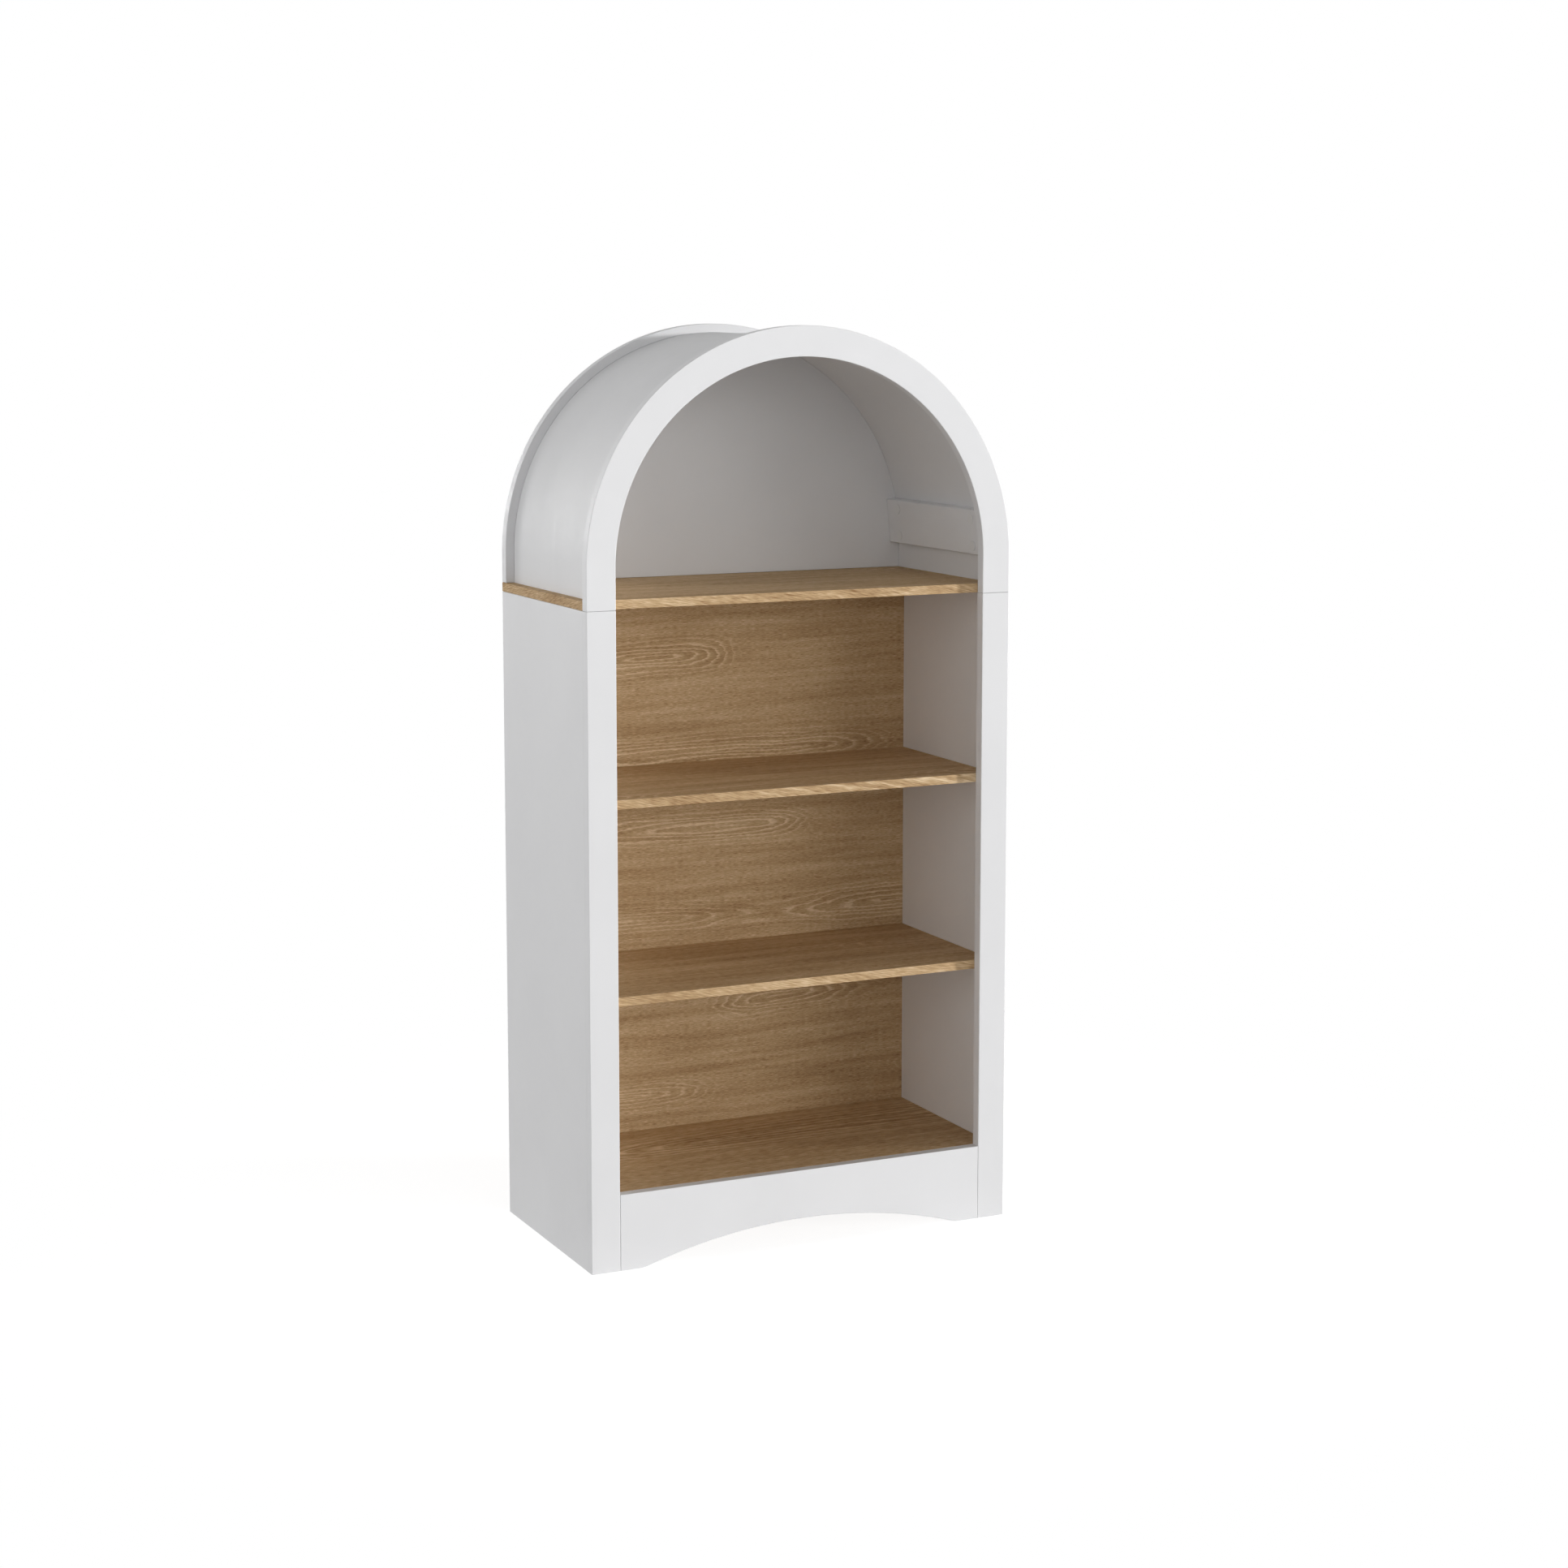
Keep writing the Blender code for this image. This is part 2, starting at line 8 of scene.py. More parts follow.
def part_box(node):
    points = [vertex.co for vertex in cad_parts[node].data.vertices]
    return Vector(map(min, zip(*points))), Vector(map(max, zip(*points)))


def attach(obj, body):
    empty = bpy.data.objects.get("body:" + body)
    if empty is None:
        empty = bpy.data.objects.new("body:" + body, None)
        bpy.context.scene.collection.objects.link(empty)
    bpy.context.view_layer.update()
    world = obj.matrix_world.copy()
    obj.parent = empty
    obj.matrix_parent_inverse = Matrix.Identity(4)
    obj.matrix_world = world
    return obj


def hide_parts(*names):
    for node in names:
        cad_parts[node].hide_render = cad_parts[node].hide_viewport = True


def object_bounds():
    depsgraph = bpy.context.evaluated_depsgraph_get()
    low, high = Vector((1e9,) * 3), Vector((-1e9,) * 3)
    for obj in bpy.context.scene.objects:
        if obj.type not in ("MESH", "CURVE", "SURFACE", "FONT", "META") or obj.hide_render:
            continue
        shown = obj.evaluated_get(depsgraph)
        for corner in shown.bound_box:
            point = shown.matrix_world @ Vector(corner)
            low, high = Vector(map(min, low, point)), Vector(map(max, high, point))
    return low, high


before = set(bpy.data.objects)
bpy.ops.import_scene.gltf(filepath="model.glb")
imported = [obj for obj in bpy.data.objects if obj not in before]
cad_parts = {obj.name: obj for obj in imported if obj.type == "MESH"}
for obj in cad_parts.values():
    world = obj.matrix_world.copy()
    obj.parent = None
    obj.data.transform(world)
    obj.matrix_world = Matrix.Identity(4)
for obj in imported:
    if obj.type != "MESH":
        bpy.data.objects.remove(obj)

cad_low, cad_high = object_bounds()
scene = bpy.context.scene
scene.view_settings.view_transform = "Standard"


# Studio: a camera a little above the shelves, turned to see the front and the left side.
# A key lamp stands far to the right, soft lamps ring the rest, and the ground is plain white.
# The flagged lamp lights all but the arch back, which lies in shade behind the arch.
SENSOR_WIDTH = 36.0
LENS = 69.12
LENS_SHIFT = -0.06
CAMERA_PLACE = (-2.1274, -4.5715, 1.5638)
CAMERA_DIP_DEGREES = 7.375
CAMERA_TURN_DEGREES = -25.506
camera_data = bpy.data.cameras.new("camera")
camera_data.sensor_width = SENSOR_WIDTH
camera_data.lens = LENS
camera_data.shift_y = LENS_SHIFT
camera = bpy.data.objects.new("camera", camera_data)
camera.location = CAMERA_PLACE
camera.rotation_euler = (math.radians(90 - CAMERA_DIP_DEGREES), 0.0, math.radians(CAMERA_TURN_DEGREES))
scene.collection.objects.link(camera)
scene.camera = camera


def add_node(tree, kind, values=None, **settings):
    """One node of a tree. Each value is a number or colour for a socket, or the output that feeds it."""
    made = tree.nodes.new(kind)
    for setting, value in settings.items():
        setattr(made, setting, value)
    for socket, value in (values or {}).items():
        if isinstance(value, bpy.types.NodeSocket):
            tree.links.new(value, made.inputs[socket])
        else:
            made.inputs[socket].default_value = value
    return made


def calculate(tree, operation, first, second=0.0):
    return add_node(tree, "ShaderNodeMath", {0: first, 1: second}, operation=operation).outputs[0]


def seen_directly(tree):
    """1 for what the camera sees, straight or through a reflection, and 0 for the light on the object."""
    path = add_node(tree, "ShaderNodeLightPath").outputs
    seen = calculate(tree, "MAXIMUM", path["Is Camera Ray"], path["Is Glossy Ray"])
    return calculate(tree, "MAXIMUM", seen, path["Is Transmission Ray"])


WHITE = (1.0, 1.0, 1.0, 1.0)
ROOM_LIGHT = 0.20
GROUND_WHITE = 1.0
world = bpy.data.worlds.new("studio")
world.use_nodes = True
scene.world = world
sky = world.node_tree
sky.nodes.clear()
room_light = add_node(sky, "ShaderNodeBackground", {"Color": WHITE, "Strength": ROOM_LIGHT})
white_ground = add_node(sky, "ShaderNodeBackground", {"Color": WHITE, "Strength": GROUND_WHITE})
sky_mix = add_node(
    sky,
    "ShaderNodeMixShader",
    {0: seen_directly(sky), 1: room_light.outputs[0], 2: white_ground.outputs[0]},
)
add_node(sky, "ShaderNodeOutputWorld", {"Surface": sky_mix.outputs[0]})

# Each lamp has a turn from the front, a height and a spread, all in degrees, and then its strength.
LAMPS = (
    ("key_right", 64, 3, 6, 2.66),
    ("front_right", 24, 5, 30, 0.30),
    ("flagged", 24, 5, 30, 0.50),
    ("front", -8, 3, 30, 0.32),
    ("front_left", -66, 4, 32, 0.46),
    ("left", -97, 2, 30, 1.07),
    ("rear_left", -150, 2, 20, 0.42),
    ("rear", 180, 2, 16, 0.75),
)
for lamp_name, lamp_turn, lamp_height, lamp_spread, lamp_strength in LAMPS:
    lamp_data = bpy.data.lights.new(lamp_name, "SUN")
    lamp_data.angle = math.radians(lamp_spread)
    lamp_data.energy = lamp_strength
    lamp = bpy.data.objects.new(lamp_name, lamp_data)
    lamp.rotation_euler = (math.radians(90 - lamp_height), 0.0, math.radians(lamp_turn))
    scene.collection.objects.link(lamp)

FLOOR_HALF = 30.0
SHADOW_START = 0.5
SHADOW_END = 1.6
GLOW_LOSS = 0.13
SHADOW_GREY = 0.43
FLOOR_GREY = (0.80, 0.80, 0.80, 1.0)
floor_shape = bmesh.new()
bmesh.ops.create_grid(floor_shape, x_segments=2, y_segments=2, size=FLOOR_HALF)
floor_mesh = bpy.data.meshes.new("floor")
floor_shape.to_mesh(floor_mesh)
floor_shape.free()
floor = bpy.data.objects.new("floor", floor_mesh)
scene.collection.objects.link(floor)
floor_paint = bpy.data.materials.new("floor_paint")
floor_paint.use_nodes = True
paint = floor_paint.node_tree
paint.nodes.clear()
floor_place = add_node(paint, "ShaderNodeTexCoord").outputs["Object"]
reach = add_node(paint, "ShaderNodeVectorMath", {0: floor_place}, operation="LENGTH").outputs["Value"]
near = add_node(
    paint,
    "ShaderNodeMapRange",
    {"Value": reach, "From Min": SHADOW_START, "From Max": SHADOW_END, "To Min": 1.0, "To Max": 0.0},
    interpolation_type="SMOOTHSTEP",
).outputs["Result"]
glow_strength = calculate(paint, "SUBTRACT", GROUND_WHITE, calculate(paint, "MULTIPLY", near, GLOW_LOSS))
glow = add_node(paint, "ShaderNodeEmission", {"Color": WHITE, "Strength": glow_strength})
shade_grey = calculate(paint, "MULTIPLY", near, SHADOW_GREY)
shade = add_node(paint, "ShaderNodeBsdfDiffuse", {"Color": shade_grey})
shown = add_node(paint, "ShaderNodeAddShader", {0: glow.outputs[0], 1: shade.outputs[0]})
matt = add_node(paint, "ShaderNodeBsdfDiffuse", {"Color": FLOOR_GREY})
floor_mix = add_node(
    paint, "ShaderNodeMixShader", {0: seen_directly(paint), 1: matt.outputs[0], 2: shown.outputs[0]}
)
add_node(paint, "ShaderNodeOutputMaterial", {"Surface": floor_mix.outputs[0]})
floor_mesh.materials.append(floor_paint)


# Sides of the lower case: full-depth fibreboard panels, sprayed with a satin white lacquer.
# A groove takes the back panel, and blind bores take the dowels of the shelves and the deck.
SLACK = 0.0003
LACQUER_ROUND = 0.001
ROUND_STEPS = 3
SHARP_EDGE = math.radians(40)
SMOOTH_EDGE = math.radians(12)
SAME_WAY = 0.9
BORE_SIDES = 32
NOISE_LOW = 0.3
NOISE_HIGH = 0.7
CLOUD_SCALE = 5.0
SHEEN_SCALE = 60.0
SHEEN_RANGE = 0.05
PEEL_DEPTH = 0.00004
PEEL_STRENGTH = 0.25
LACQUER_PALE = (0.82, 0.82, 0.828)
LACQUER_DEEP = (0.79, 0.79, 0.798)
LACQUER_PEEL = 900.0
LACQUER_ROUGHNESS = 0.45


def new_finish(name):
    """A material with its node tree and its shader."""
    finish = bpy.data.materials.new(name)
    finish.use_nodes = True
    return finish, finish.node_tree, finish.node_tree.nodes["Principled BSDF"]


def noise(tree, place, scale, detail=2.0, dimensions="3D"):
    values = {"Vector": place, "Scale": scale, "Detail": detail}
    return add_node(tree, "ShaderNodeTexNoise", values, noise_dimensions=dimensions).outputs["Fac"]


def spread(tree, value, low, high, start=0.0, end=1.0):
    """The value, where it goes from start to end, made to go from low to high."""
    values = {"Value": value, "From Min": start, "From Max": end, "To Min": low, "To Max": high}
    return add_node(tree, "ShaderNodeMapRange", values).outputs["Result"]


def shades(tree, value, *stops):
    """A colour ramp through the stops, each a place from 0 to 1 and a colour."""
    ramp = add_node(tree, "ShaderNodeValToRGB", {"Fac": value})
    elements = ramp.color_ramp.elements
    while len(elements) < len(stops):
        elements.new(1.0)
    for element, (place, colour) in zip(elements, stops):
        element.position = place
        element.color = (*colour, 1.0)
    return ramp.outputs["Color"]


def raise_surface(tree, shader, height, distance, strength):
    values = {"Height": height, "Distance": distance, "Strength": strength}
    bump = add_node(tree, "ShaderNodeBump", values)
    tree.links.new(bump.outputs["Normal"], shader.inputs["Normal"])


def sprayed_white(name, pale, deep, peel_scale, roughness):
    """Sprayed lacquer: an even white that clouds a little, with the faint orange peel of the gun."""
    finish, tree, shader = new_finish(name)
    place = add_node(tree, "ShaderNodeTexCoord").outputs["Object"]
    clouds = noise(tree, place, CLOUD_SCALE, detail=3.0)
    colour = shades(tree, clouds, (NOISE_LOW, deep), (NOISE_HIGH, pale))
    tree.links.new(colour, shader.inputs["Base Color"])
    sheen = noise(tree, place, SHEEN_SCALE)
    dullness = spread(
        tree, sheen, roughness - SHEEN_RANGE, roughness + SHEEN_RANGE, NOISE_LOW, NOISE_HIGH
    )
    tree.links.new(dullness, shader.inputs["Roughness"])
    peel = noise(tree, place, peel_scale, detail=1.0)
    raise_surface(tree, shader, peel, PEEL_DEPTH, PEEL_STRENGTH)
    return finish


def box_shape(low, high):
    shape = bmesh.new()
    size = Vector(high) - Vector(low)
    middle = (Vector(high) + Vector(low)) / 2
    matrix = Matrix.Translation(middle) @ Matrix.Diagonal((*size, 1.0))
    bmesh.ops.create_cube(shape, size=1.0, matrix=matrix)
    return shape


def ease_edges(shape, radius, glued=None):
    """Rounds the edges of a board, apart from those around a face that is glued to another board."""
    shape.normal_update()
    edges = [
        edge
        for edge in shape.edges
        if edge.calc_face_angle(0.0) > SHARP_EDGE
        and not (glued and any(face.normal.dot(glued) > SAME_WAY for face in edge.link_faces))
    ]
    bmesh.ops.bevel(
        shape,
        geom=edges,
        offset=radius,
        offset_type="OFFSET",
        segments=ROUND_STEPS,
        profile=0.5,
        affect="EDGES",
    )


def bore(cutter, node, radius=None):
    """Adds a round hole to a cutter, along the longest side of a CAD pin's box and a little wider."""
    low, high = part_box(node)
    size = high - low
    along = max(range(3), key=lambda axis: size[axis])
    turn = Vector((0, 0, 1)).rotation_difference(Vector([axis == along for axis in range(3)]))
    matrix = Matrix.Translation((low + high) / 2) @ turn.to_matrix().to_4x4()
    hole = radius or min(size) / 2
    bmesh.ops.create_cone(
        cutter,
        cap_ends=True,
        segments=BORE_SIDES,
        radius1=hole + SLACK,
        radius2=hole + SLACK,
        depth=size[along] + 2 * SLACK,
        matrix=matrix,
    )


def slot_for(cutter, node):
    """Adds a groove to a cutter, a little larger than the box of a CAD panel."""
    low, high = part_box(node)
    size = high - low + Vector((SLACK, SLACK, SLACK)) * 2
    matrix = Matrix.Translation((low + high) / 2) @ Matrix.Diagonal((*size, 1.0))
    bmesh.ops.create_cube(cutter, size=1.0, matrix=matrix)


def mesh_of(name, shape):
    mesh = bpy.data.meshes.new(name)
    shape.to_mesh(mesh)
    shape.free()
    return mesh


def make_real(piece):
    """Puts a piece's modifiers into its mesh, and shades it so that only its round faces are smooth."""
    graph = bpy.context.evaluated_depsgraph_get()
    graph.update()
    mesh = bpy.data.meshes.new_from_object(piece.evaluated_get(graph))
    piece.modifiers.clear()
    piece.data = mesh
    mesh.shade_smooth()
    mesh.set_sharp_from_angle(angle=SMOOTH_EDGE)


def add_piece(name, mesh, finish, cutter=None):
    """A piece of the bookcase, with the joints in the cutter taken out of it."""
    mesh.materials.clear()
    mesh.materials.append(finish)
    piece = bpy.data.objects.new(name, mesh)
    scene.collection.objects.link(piece)
    if cutter:
        tool = bpy.data.objects.new(name + "_joints", mesh_of(name + "_joints", cutter))
        scene.collection.objects.link(tool)
        joints = piece.modifiers.new("joints", "BOOLEAN")
        joints.operation = "DIFFERENCE"
        joints.object = tool
    make_real(piece)
    if cutter:
        bpy.data.objects.remove(tool, do_unlink=True)
    return piece


white_lacquer = sprayed_white(
    "white_lacquer", LACQUER_PALE, LACQUER_DEEP, LACQUER_PEEL, LACQUER_ROUGHNESS
)
SHELF_NODES = ("bottom_shelf", "lower_shelf", "upper_shelf")
for hand in ("left", "right"):
    side_shape = box_shape(*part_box(f"{hand}_side_panel"))
    ease_edges(side_shape, LACQUER_ROUND, glued=Vector((0, -1, 0)))
    side_joints = bmesh.new()
    slot_for(side_joints, "back_panel")
    for end in ("front", "rear"):
        bore(side_joints, f"deck_dowel_{hand}_{end}")
        for shelf_node in SHELF_NODES:
            bore(side_joints, f"{shelf_node}_dowel_{hand}_{end}")
    side = add_piece(f"{hand}_side", mesh_of(f"{hand}_side", side_shape), white_lacquer, side_joints)
    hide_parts(f"{hand}_side_panel")
    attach(side, "root")


# Stiles: fibreboard posts glued to the front edges of the sides, in the same white lacquer.
# Their outer edges are eased by hand, and a dowel in the top of each takes the arch.
for hand in ("left", "right"):
    stile_shape = box_shape(*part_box(f"{hand}_front_stile"))
    ease_edges(stile_shape, LACQUER_ROUND, glued=Vector((0, 1, 0)))
    stile_joints = bmesh.new()
    bore(stile_joints, f"ring_dowel_{hand}")
    stile = add_piece(f"{hand}_stile", mesh_of(f"{hand}_stile", stile_shape), white_lacquer, stile_joints)
    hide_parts(f"{hand}_front_stile")
    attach(stile, "root")


# Apron: a fibreboard plinth between the stiles, lacquered white.
# Its lower edge is sawn to one shallow arc that turns down to flat feet through a soft corner.
APRON_FOOT = 0.035
APRON_RISE = 0.045
APRON_CORNER = 0.050
APRON_STEPS = 64
CORNER_STEPS = 10


def arc(middle, radius, start, end, steps):
    """Points along an arc in X and Z, from one angle to another."""
    angles = [start + (end - start) * step / steps for step in range(steps + 1)]
    return [(middle[0] + radius * math.cos(a), middle[1] + radius * math.sin(a)) for a in angles]


def plate_shape(outline, front, back):
    """A flat board between two depths, sawn to an outline in X and Z."""
    shape = bmesh.new()
    face = shape.faces.new([shape.verts.new((x, front, z)) for x, z in outline])
    pushed = bmesh.ops.extrude_face_region(shape, geom=[face], use_keep_orig=True)["geom"]
    bmesh.ops.translate(
        shape, vec=(0, back - front, 0), verts=[v for v in pushed if isinstance(v, bmesh.types.BMVert)]
    )
    bmesh.ops.recalc_face_normals(shape, faces=shape.faces)
    return shape


apron_low, apron_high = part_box("front_apron")
foot_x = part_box("right_front_stile")[0].x - APRON_FOOT
apron_radius = (foot_x**2 / APRON_RISE + APRON_RISE) / 2 - APRON_CORNER
apron_middle = APRON_RISE - apron_radius
apron_turn = math.atan2(foot_x, APRON_CORNER - apron_middle)
DOWN = -math.pi / 2
UP = math.pi / 2
left_corner = arc((-foot_x, APRON_CORNER), APRON_CORNER, DOWN, DOWN + apron_turn, CORNER_STEPS)
apron_arc = arc((0.0, apron_middle), apron_radius, UP + apron_turn, UP - apron_turn, APRON_STEPS)
apron_outline = [
    (apron_high.x, apron_high.z),
    (apron_low.x, apron_high.z),
    (apron_low.x, apron_low.z),
    *left_corner,
    *apron_arc[1:-1],
    *[(-x, z) for x, z in reversed(left_corner)],
    (apron_high.x, apron_low.z),
]
apron_shape = plate_shape(apron_outline, apron_low.y, apron_high.y)
ease_edges(apron_shape, LACQUER_ROUND)
apron = add_piece("apron", mesh_of("apron", apron_shape), white_lacquer)
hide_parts("front_apron")
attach(apron, "root")


# Shelves: boards faced with plain-sliced oak veneer, under a clear matt lacquer.
# A strip of oak edging closes each edge, cut so that its grain slants a little and shows coarser.
# The grain runs from side to side, and each shelf sits on two dowels at either end.
OAK_ROUND = 0.0005
OAK_DEEP = (0.28, 0.152, 0.062)
OAK_MIDDLE = (0.56, 0.378, 0.201)
OAK_PALE = (0.85, 0.660, 0.430)
OAK_ROUGHNESS = (0.70, 0.80)
OAK_SHINE = 0.20
oak_veneer, oak, oak_shader = new_finish("oak_veneer")
leaf = add_node(oak, "ShaderNodeUVMap", uv_map="grain").outputs["UV"]


def stretched(tree, place, along, across):
    """The veneer's own coordinates, scaled along the grain and across it."""
    return add_node(tree, "ShaderNodeMapping", {"Vector": place, "Scale": (along, across, 1.0)}).outputs[0]


def streaks(tree, place, along, across, detail):
    """Noise drawn out along the grain, with one rate of change along it and another across it."""
    return noise(tree, stretched(tree, place, along, across), 1.0, detail=detail, dimensions="2D")


# The grain drifts to and fro across the leaf.
GRAIN_DRIFT = 0.024
DRIFT_RATES = (1.1, 3.0)
bend = streaks(oak, leaf, *DRIFT_RATES, detail=2.0)
drift = add_node(oak, "ShaderNodeCombineXYZ", {"Y": spread(oak, bend, -GRAIN_DRIFT, GRAIN_DRIFT)})
grain = add_node(oak, "ShaderNodeVectorMath", {0: leaf, 1: drift.outputs[0]}, operation="ADD").outputs[0]
grain_axes = add_node(oak, "ShaderNodeSeparateXYZ", {0: grain}).outputs

# The hearts of the log lie in rows, and the knife passes each heart nearer or farther along the leaf.
HEART_GAP = 0.15
HEART_SHIFT = 0.032
SWINGS_PER_METRE = 1.3
ROW_STEP = 3.7
SHIFT_STEP = 5.3
KNIFE_DEPTH = 0.08
FULL_SWING = 0.25
NOISE_MIDDLE = 0.5
rows = calculate(oak, "DIVIDE", grain_axes["Y"], HEART_GAP)
row = calculate(oak, "ROUND", rows)
log_line = add_node(
    oak,
    "ShaderNodeCombineXYZ",
    {
        "X": calculate(oak, "MULTIPLY", grain_axes["X"], SWINGS_PER_METRE),
        "Y": calculate(oak, "MULTIPLY", row, ROW_STEP),
    },
).outputs[0]
swing = noise(oak, log_line, 1.0, detail=0.0, dimensions="2D")
swing = calculate(oak, "SUBTRACT", swing, NOISE_MIDDLE)
swing_squared = calculate(oak, "MULTIPLY", swing, swing)
depth = spread(oak, swing_squared, 0.0, KNIFE_DEPTH, 0.0, FULL_SWING**2)
from_heart = calculate(oak, "MULTIPLY", calculate(oak, "SUBTRACT", rows, row), HEART_GAP)
row_place = calculate(oak, "MULTIPLY", row, SHIFT_STEP)
row_line = add_node(oak, "ShaderNodeCombineXYZ", {"X": row_place}).outputs[0]
row_shift = noise(oak, row_line, 1.0, detail=0.0, dimensions="2D")
row_shift = spread(oak, row_shift, -HEART_SHIFT, HEART_SHIFT, NOISE_LOW, NOISE_HIGH)
from_heart = calculate(oak, "ADD", from_heart, row_shift)

# Year rings round the heart show as cathedral arches near it, their edges toothed by the pores.
FAST_GROWTH = 1.35
GROWTH_RATES = (0.8, 2.0)
RINGS_PER_METRE = 140.0
TOOTH_SIZE = 0.35
TOOTH_RATES = (70.0, 420.0)
WOBBLE_SIZE = 1.4
WOBBLE_RATES = (7.0, 70.0)
MIDDLE_TONE = 0.5
ARCHES_FADE_FROM = 0.018
ARCHES_FADE_TO = 0.046
FAINTEST_ARCHES = 0.45
LATE_WOOD = -0.20
EARLY_WOOD = 0.46
YEAR = ((0.0, 1.0), (0.18, 0.55), (0.35, 0.25), (0.85, 0.15), (1.0, 1.0))
in_log = add_node(oak, "ShaderNodeCombineXYZ", {"X": from_heart, "Y": depth}).outputs[0]
ring_radius = add_node(oak, "ShaderNodeVectorMath", {0: in_log}, operation="LENGTH").outputs["Value"]
growth = streaks(oak, log_line, *GROWTH_RATES, detail=0.0)
swelling = spread(oak, growth, 1.0, FAST_GROWTH, NOISE_LOW, NOISE_HIGH)
ring_radius = calculate(oak, "MULTIPLY", ring_radius, swelling)
teeth = streaks(oak, grain, *TOOTH_RATES, detail=1.0)
wobble = streaks(oak, grain, *WOBBLE_RATES, detail=1.0)
years = calculate(oak, "MULTIPLY", ring_radius, RINGS_PER_METRE)
years = calculate(oak, "ADD", years, calculate(oak, "MULTIPLY", teeth, TOOTH_SIZE))
years = calculate(oak, "ADD", years, calculate(oak, "MULTIPLY", wobble, WOBBLE_SIZE))
season = shades(oak, calculate(oak, "FRACT", years), *[(part, (grey,) * 3) for part, grey in YEAR])
cathedral = spread(oak, ring_radius, 1.0, 0.0, ARCHES_FADE_FROM, ARCHES_FADE_TO)
faintness = spread(oak, growth, 1.0, FAINTEST_ARCHES, NOISE_LOW, NOISE_HIGH)
cathedral = calculate(oak, "MULTIPLY", cathedral, faintness)
tone = calculate(oak, "MULTIPLY", cathedral, spread(oak, season, LATE_WOOD, EARLY_WOOD))
tone = calculate(oak, "ADD", tone, MIDDLE_TONE)

# Fine and broad streaks lie over the whole leaf, each with a rate along, a rate across and a contrast.
STREAKS = (
    (115.0, 1500.0, 1.05),
    (30.0, 600.0, 0.32),
    (5.0, 110.0, 0.42),
    (2.0, 40.0, 0.40),
    (1.2, 7.0, 0.20),
)
for along, across, contrast in STREAKS:
    figure = streaks(oak, grain, along, across, detail=2.0)
    tone = calculate(oak, "ADD", tone, spread(oak, figure, -contrast / 2, contrast / 2))

# Open pores are short dark dashes along the grain, duller than the wood between them.
PORE_START = 0.60
PORE_END = 0.74
PORE_DARKNESS = 0.22
PORE_RATES = (75.0, 1000.0)
GRAIN_DEPTH = 0.00012
GRAIN_STRENGTH = 0.35
pore_noise = streaks(oak, grain, *PORE_RATES, detail=1.0)
pores = spread(oak, pore_noise, 0.0, 1.0, PORE_START, PORE_END)
tone = calculate(oak, "SUBTRACT", tone, calculate(oak, "MULTIPLY", pores, PORE_DARKNESS))
oak_colour = shades(oak, tone, (0.0, OAK_DEEP), (MIDDLE_TONE, OAK_MIDDLE), (1.0, OAK_PALE))
oak.links.new(oak_colour, oak_shader.inputs["Base Color"])
oak.links.new(spread(oak, pores, *OAK_ROUGHNESS), oak_shader.inputs["Roughness"])
oak_shader.inputs["Specular IOR Level"].default_value = OAK_SHINE
raise_surface(oak, oak_shader, tone, GRAIN_DEPTH, GRAIN_STRENGTH)

EDGING_SLANT = math.radians(12)
EDGING_COARSENESS = 2.2
FACE_SHIFT = (0.61, 0.27)


def lay_veneer(mesh, cut_from, coarseness):
    """Lays the grain along each broad face, and a strip of coarser, slanting grain along each edge."""
    layer = mesh.uv_layers.new(name="grain")
    corners = [vertex.co for vertex in mesh.vertices]
    sizes = [max(c[axis] for c in corners) - min(c[axis] for c in corners) for axis in range(3)]
    thin = sizes.index(min(sizes))
    for face in mesh.polygons:
        facing = max(range(3), key=lambda axis: abs(face.normal[axis]))
        along, across = ((1, 2), (0, 2), (0, 1))[facing]
        slant, scale = (0.0, coarseness) if facing == thin else (EDGING_SLANT, EDGING_COARSENESS)
        for loop in face.loop_indices:
            place = corners[mesh.loops[loop].vertex_index] / scale
            with_grain = place[along] * math.cos(slant) - place[across] * math.sin(slant)
            cross_grain = place[along] * math.sin(slant) + place[across] * math.cos(slant)
            layer.data[loop].uv = (
                with_grain + cut_from[0] + FACE_SHIFT[0] * facing,
                cross_grain + cut_from[1] + FACE_SHIFT[1] * facing,
            )


def oak_board(name, node, cut_from, coarseness, cutter=None):
    board_shape = box_shape(*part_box(node))
    ease_edges(board_shape, OAK_ROUND)
    board_mesh = mesh_of(name, board_shape)
    lay_veneer(board_mesh, cut_from, coarseness)
    return add_piece(name, board_mesh, oak_veneer, cutter)


# Each shelf's leaf: where on the endless veneer it is cut from, and how coarse its grain is.
SHELF_LEAVES = (((2.93, 4.723), 2.0), ((3.10, 5.01), 1.4), ((3.895, 4.64), 1.4))
for shelf_node, (cut_from, coarseness) in zip(SHELF_NODES, SHELF_LEAVES):
    shelf_joints = bmesh.new()
    for hand in ("left", "right"):
        for end in ("front", "rear"):
            bore(shelf_joints, f"{shelf_node}_dowel_{hand}_{end}")
    shelf = oak_board(f"oak_{shelf_node}", shelf_node, cut_from, coarseness, shelf_joints)
    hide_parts(shelf_node)
    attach(shelf, "root")


# Deck: an oak-faced board laid across both sides, so that its edged ends show outside.
# It is the floor of the arch, and a groove underneath closes over the back panel.
DECK_CUT_FROM = (2.575, 4.64)
DECK_COARSENESS = 1.4
deck_joints = bmesh.new()
slot_for(deck_joints, "back_panel")
for hand in ("left", "right"):
    bore(deck_joints, f"back_board_dowel_{hand}")
    for end in ("front", "rear"):
        bore(deck_joints, f"deck_dowel_{hand}_{end}")
deck = oak_board("oak_deck", "deck", DECK_CUT_FROM, DECK_COARSENESS, deck_joints)
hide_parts("deck")
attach(deck, "root")


